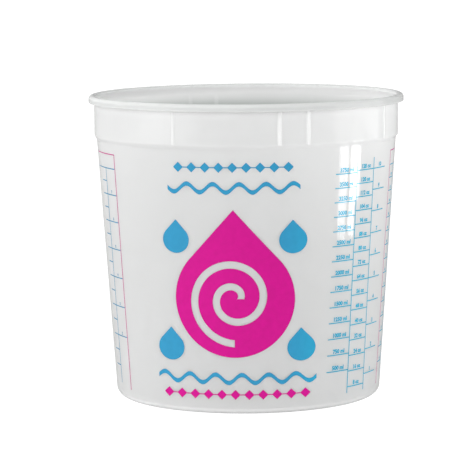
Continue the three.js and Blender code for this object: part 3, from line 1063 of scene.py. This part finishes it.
class MIXING_OT_chart(bpy.types.Operator):
    """Print the chart round the back: its frame and a ratio scale in each block"""

    bl_idname = "mixing.chart"
    bl_label = "Print chart"

    def execute(self, context):
        prints = context.scene.mixing_prints
        shape = Shape(context.scene.mixing_sizes)
        self.print_frame(shape, prints)
        block = self.print_block(shape, prints, Scales(shape, prints))
        span = (prints.chart_end - prints.chart_start) / CHART_BLOCKS
        for i in range(CHART_BLOCKS):
            name = f"ratio_scale_ink_{i + 1}"
            piece = turned_copy(block, name, prints.chart_start + i * span)
            finish_ink(piece, BLUE, f"ratio_scale_print_{i + 1}")
        bpy.data.objects.remove(block)
        return {"FINISHED"}

    def print_frame(self, shape, prints):
        """The top line and the uprights between the blocks."""
        half = prints.line / 2
        low = shape.foot_top + prints.chart_low
        high = shape.step_foot - prints.chart_top
        span = (prints.chart_end - prints.chart_start) / CHART_BLOCKS
        bearings = [prints.chart_start + i * span for i in range(CHART_BLOCKS + 1)]
        lines = [(bearing, -half, half, low, high) for bearing in bearings]
        wide = 2 * shape.sizes.lip_radius
        middles = [bearing + span / 2 for bearing in bearings[:-1]]
        lines += [(middle, -wide, wide, high - prints.line, high) for middle in middles]
        margin = half / shape.wall_radius(low)
        ends = (prints.chart_start - margin, prints.chart_end + margin)
        piece = printed_lines("chart_frame_ink", shape, prints, ends, (low, high), lines)
        finish_ink(piece, MAGENTA, "chart_frame_print")

    def print_block(self, shape, prints, scales):
        """One block of the chart, with its first upright at the front."""
        sizes = shape.sizes
        half = prints.line / 2
        beside = half + prints.clearance
        end = (prints.chart_end - prints.chart_start) / CHART_BLOCKS
        left = shape.width_of(prints.left_column)
        right = shape.width_of(prints.right_column)
        far = shape.width_of(prints.short_mark)
        counts = list(scales.ounces)
        every = {count: scales.ounces[count] for count in counts[1:-1]}
        every_other = {count: scales.ounces[count] for count in counts[3:-1:2]}
        low = scales.ounces[counts[1]] - prints.ratio_tail
        header = scales.full_level
        wide = 2 * sizes.lip_radius
        lines = [
            (end / 2, -wide, wide, header - half, header + half),
            (0, left - half, left + half, low, header),
            (end, -right - half, -right + half, low, header),
        ]
        for level in every.values():
            lines.append((0, 0, left, level - half, level + half))
            lines.append((end, -far, -right, level - half, level + half))
        for level in every_other.values():
            lines.append((end, -right, 0, level - half, level + half))
        turn = beside / shape.wall_radius(header)
        heights = (low, header + half)
        name = "ratio_block"
        piece = printed_lines(name, shape, prints, (turn, end - turn), heights, lines)
        left_labels = [(str(count), left / 2, level) for count, level in every.items()]
        right_labels = [
            (str(count // (2 * OUNCE_STEP)), -right / 2, level)
            for count, level in every_other.items()
        ]
        height = prints.small_letter
        left_numbers = numbers_on_wall("left_numbers", left_labels, height, sizes, prints)
        right_numbers = numbers_on_wall("right_numbers", right_labels, height, sizes, prints)
        turn_to(right_numbers, end)
        return join([piece, left_numbers, right_numbers], name)


def flat_drop(name, x, z, radius, sizes):
    """A drop with its tip up, as flat artwork."""
    y = flat_place(sizes)
    deselect_objects()
    bpy.ops.mesh.primitive_circle_add(
        vertices=DROP_SIDES,
        radius=radius,
        fill_type="NGON",
        location=(x, y, z),
        rotation=(math.pi / 2, 0, 0),
    )
    piece = bpy.context.object
    piece.name = name
    piece.data.name = name
    bpy.ops.object.transform_apply(location=True, rotation=True, scale=True)
    start_edit(piece)
    touch = z + radius / DROP_POINT
    select_vertices(lambda place: place.z > touch)
    bpy.ops.mesh.merge(type="CENTER")
    tip = next(v for v in bmesh.from_edit_mesh(piece.data).verts if v.select)
    rise = z + radius * DROP_POINT - tip.co.z
    bpy.ops.transform.translate(value=(x - tip.co.x, 0, rise))
    end_edit()
    return piece


def flat_swirl(x, z, radius, sizes, prints):
    """The bare swirl in the large drop, as a solid to cut with."""
    pitch = (radius - prints.swirl_border - prints.swirl_start) / SWIRL_TURNS
    half = pitch * SWIRL_SHARE / 2
    y = flat_place(sizes)
    steps = round(SWIRL_TURNS * SWIRL_STEPS_PER_TURN)
    turn = 2 * math.pi / SWIRL_STEPS_PER_TURN
    piece = single_point("swirl", (x + prints.swirl_start - half, y - BLANK, z))
    extrude((2 * half, 0, 0))
    select_whole()
    for i in range(1, steps + 1):
        sweep(turn, 1, (x, y, z), TO_VIEWER)
        grow = pitch / SWIRL_STEPS_PER_TURN
        bpy.ops.transform.translate(value=(grow * math.cos(turn * i), 0, grow * math.sin(turn * i)))
    select_whole()
    extrude((0, 4 * BLANK, 0))
    face_outwards()
    end_edit()
    return piece


def flat_ribbon(name, z, half_width, waves, sizes, prints):
    """A wavy ribbon, as flat artwork."""
    steps = waves * WAVE_STEPS
    step = 2 * half_width / steps

    def rise(i):
        return prints.wave * math.sin((i / steps - 0.5) * waves * 2 * math.pi)

    foot = z + rise(0) - prints.ribbon / 2
    piece = single_point(name, (-half_width, flat_place(sizes), foot))
    extrude((0, 0, prints.ribbon))
    select_whole()
    for i in range(steps):
        extrude((step, 0, rise(i + 1) - rise(i)))
    end_edit()
    return piece


def flat_chain(name, z, half_width, beads, sizes, prints):
    """Diamond beads on a line, as flat artwork: an edge drawn along and stretched at each bead."""
    y = flat_place(sizes)
    half = prints.bead / 2
    slope = half - prints.line / 2
    pitch = 2 * (half_width - half) / (beads - 1)
    stretch = prints.bead / prints.line
    x = -half_width + half - slope
    piece = single_point(name, (x, y, z - prints.line / 2))
    extrude((0, 0, prints.line))
    select_whole()
    for i in range(beads):
        for factor in (stretch, 1 / stretch):
            x += slope
            extrude((slope, 0, 0))
            bpy.ops.transform.resize(value=(1, 1, factor), center_override=(x, y, z))
        if i < beads - 1:
            x += pitch - 2 * slope
            extrude((pitch - 2 * slope, 0, 0))
    end_edit()
    return piece


class MIXING_OT_front_print(bpy.types.Operator):
    """Print the drops, ribbons and beads on the front"""

    bl_idname = "mixing.front_print"
    bl_label = "Print front"

    def execute(self, context):
        sizes = context.scene.mixing_sizes
        prints = context.scene.mixing_prints
        shape = Shape(sizes)
        upper_ribbon = shape.step_foot - prints.upper_ribbon_depth
        lower_ribbon = shape.foot_top + prints.lower_ribbon_rise
        low = lower_ribbon + prints.drop_margin
        high = upper_ribbon - prints.drop_margin
        radius = (high - low) / (1 + DROP_POINT)
        self.print_drops(sizes, prints, low + radius, radius)
        ribbons = [
            ("upper_ribbon", upper_ribbon, prints.upper_ribbon_spread, UPPER_RIBBON_WAVES),
            ("lower_ribbon", lower_ribbon, prints.lower_ribbon_spread, LOWER_RIBBON_WAVES),
        ]
        for name, level, half_spread, waves in ribbons:
            half_width = shape.width_of(half_spread)
            piece = flat_ribbon(f"{name}_ink", level, half_width, waves, sizes, prints)
            self.lay(piece, prints, BLUE, f"{name}_print")
        upper = shape.step_foot - prints.upper_chain_depth
        lower = shape.foot_top + prints.lower_chain_rise
        chains = [
            ("upper_chain", upper, prints.upper_chain_spread, UPPER_CHAIN_BEADS, BLUE),
            ("lower_chain", lower, prints.lower_chain_spread, LOWER_CHAIN_BEADS, MAGENTA),
        ]
        for name, level, half_spread, beads, ink in chains:
            half_width = shape.width_of(half_spread)
            piece = flat_chain(f"{name}_ink", level, half_width, beads, sizes, prints)
            self.lay(piece, prints, ink, f"{name}_print")
        return {"FINISHED"}

    def lay(self, piece, prints, ink, node):
        lay_on_wall(piece, prints)
        turn_to(piece, prints.front_bearing)
        finish_ink(piece, ink, node)

    def print_drops(self, sizes, prints, middle, radius):
        """The large drop with its bare swirl, and the small drops round it."""
        large = flat_drop("large_drop_ink", 0, middle, radius, sizes)
        start_edit(large, "FACE")
        select_whole()
        extrude((0, BLANK, 0))
        face_outwards()
        end_edit()
        swirl = flat_swirl(0, middle, radius, sizes, prints)
        apply_modifier(large, "BOOLEAN", operation="DIFFERENCE", object=swirl, solver="EXACT")
        bpy.data.objects.remove(swirl)
        start_edit(large, "FACE")
        select_faces(lambda _, normal: normal.y > -FACING)
        bpy.ops.mesh.delete(type="FACE")
        end_edit()
        self.lay(large, prints, MAGENTA, "large_drop_print")
        distance = radius + prints.small_drop_gap + prints.small_drop
        for side, angle in SMALL_DROP_DIRECTIONS.items():
            x = distance * math.cos(math.radians(angle))
            z = middle + distance * math.sin(math.radians(angle))
            piece = flat_drop(f"small_drop_ink_{side}", x, z, prints.small_drop, sizes)
            self.lay(piece, prints, BLUE, f"small_drop_print_{side}")


class StageSettings(bpy.types.PropertyGroup):
    """Camera and light."""

    distance: length("Camera distance", "In front of the container's axis", 1740)
    eye: length("Camera height", "Above the floor", 314.5)
    pitch: degrees("Camera pitch", "Down from level", 6.741)
    yaw: degrees("Camera yaw", "Turned to the right", -0.259)
    roll: degrees("Camera roll", "Turned anticlockwise", -0.495)
    focal_length: length("Focal length", "Of a sensor 36 mm wide", 205.2)
    even: strength("Even light", "From all round", 0.4)
    left: strength("Left light", "Soft light, strongest from the left", 1.48)
    right: strength("Right light", "Soft light, strongest from the right", 0.26)
    front: strength("Front light", "Soft light, strongest from the front", 1.09)


def lamp(name, place, size, power):
    """A soft rectangular lamp, in watts, that faces left."""
    bpy.ops.object.light_add(type="AREA", location=place)
    light = bpy.context.object
    light.name = name
    light.data.shape = "RECTANGLE"
    light.data.size, light.data.size_y = size
    light.data.energy = power
    light.rotation_euler = Vector((-1, 0, 0)).to_track_quat("-Z", "Y").to_euler()
    light.visible_camera = False


def mixed(tree, share, first, second):
    """Two shaders mixed by a number or a link."""
    return node(tree, "MixShader", {"Fac": share, 1: first, 2: second}).outputs["Shader"]


def floor_finish(finishes):
    """A pale floor that the camera sees as white, with the object's shadow on it.

    Off camera its colour is painted lighter at the left, as painted light, and what the plastic
    reflects of it is an emission, a painted reflection with a painted glow far to the left, as in
    a room with its window there.
    """
    tree, shader, place = new_material(FLOOR)
    x = axes_of(tree, place)["X"]
    # Painted reflection: an emission that only reflections see, lighter at the left, with a painted
    # glow.
    near = graded(tree, x, FLOOR_GRADE, (finishes.mirror_left, finishes.mirror_right))
    from_glow = node(tree, "VectorMath", {0: place, 1: GLOW_PLACE}, operation="DISTANCE")
    glow = graded(tree, from_glow.outputs["Value"], GLOW_REACH, (finishes.mirror_glow, 0))
    painted_reflection = node(tree, "Emission", {"Strength": calculate(tree, "ADD", near, glow)})
    # Painted light: the floor's colour off camera, lighter at the left.
    shade = graded(tree, x, FLOOR_GRADE, (finishes.floor_left, finishes.floor_right))
    tree.links.new(shade, shader.inputs["Base Color"])
    shader.inputs["Roughness"].default_value = FLOOR_ROUGHNESS
    pale = node(tree, "BsdfDiffuse", {"Color": opaque(finishes.floor)})
    white = node(tree, "Emission", {"Strength": WHITE_STRENGTH})
    rays = node(tree, "LightPath", {}).outputs
    lit, painted_mirror_shader = shader.outputs["BSDF"], painted_reflection.outputs["Emission"]
    seen = mixed(tree, WHITE_SHARE, pale.outputs["BSDF"], white.outputs["Emission"])
    unseen = mixed(tree, rays["Is Glossy Ray"], lit, painted_mirror_shader)
    surface = mixed(tree, rays["Is Camera Ray"], unseen, seen)
    tree.links.new(surface, tree.nodes["Material Output"].inputs["Surface"])


class MIXING_OT_stage(bpy.types.Operator):
    """Set up the floor, the light and the camera"""

    bl_idname = "mixing.stage"
    bl_label = "Set up stage"

    def execute(self, context):
        settings = context.scene.mixing_stage
        deselect_objects()
        bpy.ops.mesh.primitive_plane_add(size=FLOOR_SIZE, location=(0, 0, 0))
        floor = context.object
        floor.name = FLOOR
        floor_finish(context.scene.mixing_finishes)
        floor.data.materials.append(finish_of(FLOOR))
        self.add_world(context, settings)
        for name, (place, size, power) in LAMPS.items():
            lamp(name, place, size, power)
        self.add_camera(context, settings)
        context.scene.view_settings.view_transform = "Standard"
        return {"FINISHED"}

    def add_world(self, context, settings):
        """Soft light that differs smoothly from side to side."""
        world = bpy.data.worlds.new("studio_light")
        world.use_nodes = True
        tree = world.node_tree
        place = tree.nodes.new("ShaderNodeTexCoord").outputs["Generated"]
        total = settings.even
        sides = {
            (-1, 0, 0): settings.left,
            (1, 0, 0): settings.right,
            (0, -1, 0): settings.front,
        }
        for side, share in sides.items():
            facing = node(tree, "VectorMath", {0: place, 1: side}, operation="DOT_PRODUCT")
            above = calculate(tree, "MAXIMUM", facing.outputs["Value"], 0)
            total = calculate(tree, "MULTIPLY_ADD", above, share, total)
        background = tree.nodes["Background"]
        background.inputs["Color"].default_value = (1, 1, 1, 1)
        tree.links.new(total, background.inputs["Strength"])
        context.scene.world = world

    def add_camera(self, context, settings):
        place = Vector((0, -settings.distance, settings.eye))
        turn = (
            Matrix.Rotation(-settings.yaw, 4, "Z")
            @ Matrix.Rotation(math.pi / 2 - settings.pitch, 4, "X")
            @ Matrix.Rotation(settings.roll, 4, "Z")
        )
        bpy.ops.object.camera_add(location=place, rotation=turn.to_euler())
        camera = context.object
        camera.name = "camera"
        camera.data.sensor_width = SENSOR_WIDTH
        camera.data.lens = settings.focal_length / MM
        camera.data.clip_end = FARTHEST_VIEW
        context.scene.camera = camera


class MIXING_PT_panel(bpy.types.Panel):
    """The container's pieces and sizes in the sidebar."""

    bl_label = "Mixing container"
    bl_idname = "MIXING_PT_panel"
    bl_space_type = "VIEW_3D"
    bl_region_type = "UI"
    bl_category = "Mixing container"

    def draw(self, context):
        sections = {
            "mixing_sizes": ["mixing.container"],
            "mixing_prints": ["mixing.volume_scale", "mixing.chart", "mixing.front_print"],
            "mixing_finishes": ["mixing.finishes"],
            "mixing_stage": ["mixing.stage"],
        }
        for group, operators in sections.items():
            settings = getattr(context.scene, group)
            column = self.layout.column()
            for name in settings.bl_rna.properties.keys():
                if name not in ("rna_type", "name"):
                    column.prop(settings, name)
            for operator in operators:
                column.operator(operator)


groups = {
    "mixing_sizes": ContainerSizes,
    "mixing_prints": PrintSizes,
    "mixing_finishes": Finishes,
    "mixing_stage": StageSettings,
}

classes = (
    *groups.values(),
    MIXING_OT_finishes,
    MIXING_OT_container,
    MIXING_OT_volume_scale,
    MIXING_OT_chart,
    MIXING_OT_front_print,
    MIXING_OT_stage,
    MIXING_PT_panel,
)


def register():
    for cls in classes:
        bpy.utils.register_class(cls)
    for name, group in groups.items():
        setattr(bpy.types.Scene, name, bpy.props.PointerProperty(type=group))


def unregister():
    for name in groups:
        delattr(bpy.types.Scene, name)
    for cls in reversed(classes):
        bpy.utils.unregister_class(cls)


def main():
    register()
    bpy.ops.mixing.finishes()
    bpy.ops.mixing.container()
    bpy.ops.mixing.volume_scale()
    bpy.ops.mixing.chart()
    bpy.ops.mixing.front_print()
    bpy.ops.mixing.stage()


if __name__ == "__main__":
    main()
